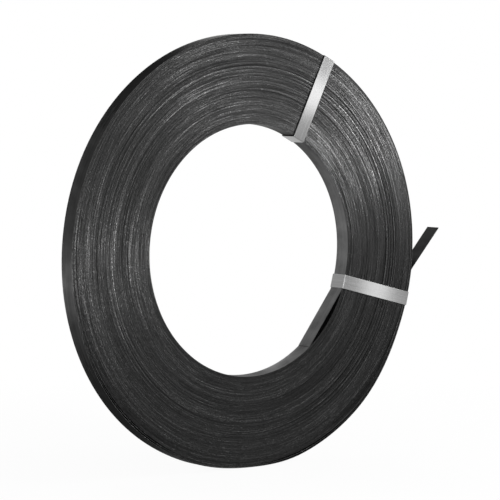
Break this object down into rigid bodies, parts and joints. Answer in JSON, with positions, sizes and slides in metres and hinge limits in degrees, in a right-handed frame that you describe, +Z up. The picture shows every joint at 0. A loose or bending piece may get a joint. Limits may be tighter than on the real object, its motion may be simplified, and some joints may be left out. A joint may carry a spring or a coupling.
{
  "type": "steel strap coil",
  "caption": "Flat coil of black steel strapping wound edge over edge round an open bore and held by bright steel ties, with its two cut ends standing free.",
  "frame": {"origin": "on the axis of the bore, halfway through the strap's width, which is the centre of mass to within a millimetre", "axes": "the bore's axis lies along Y, and -Y points out of the end that the picture shows. +Z is up as the coil stands on its rim, and +X points to the picture's right, where the outer end stands out"},
  "size_m": [0.4292, 0.0186, 0.3965],
  "materials": {
    "strap": "black painted and waxed, satin",
    "tie": "bright zinc coated, brushed lengthwise"
  },
  "bodies": {
    "root": {"strap_coil": "strap", "tie_upper": "tie", "tie_lower": "tie"}
  },
  "joints": []
}
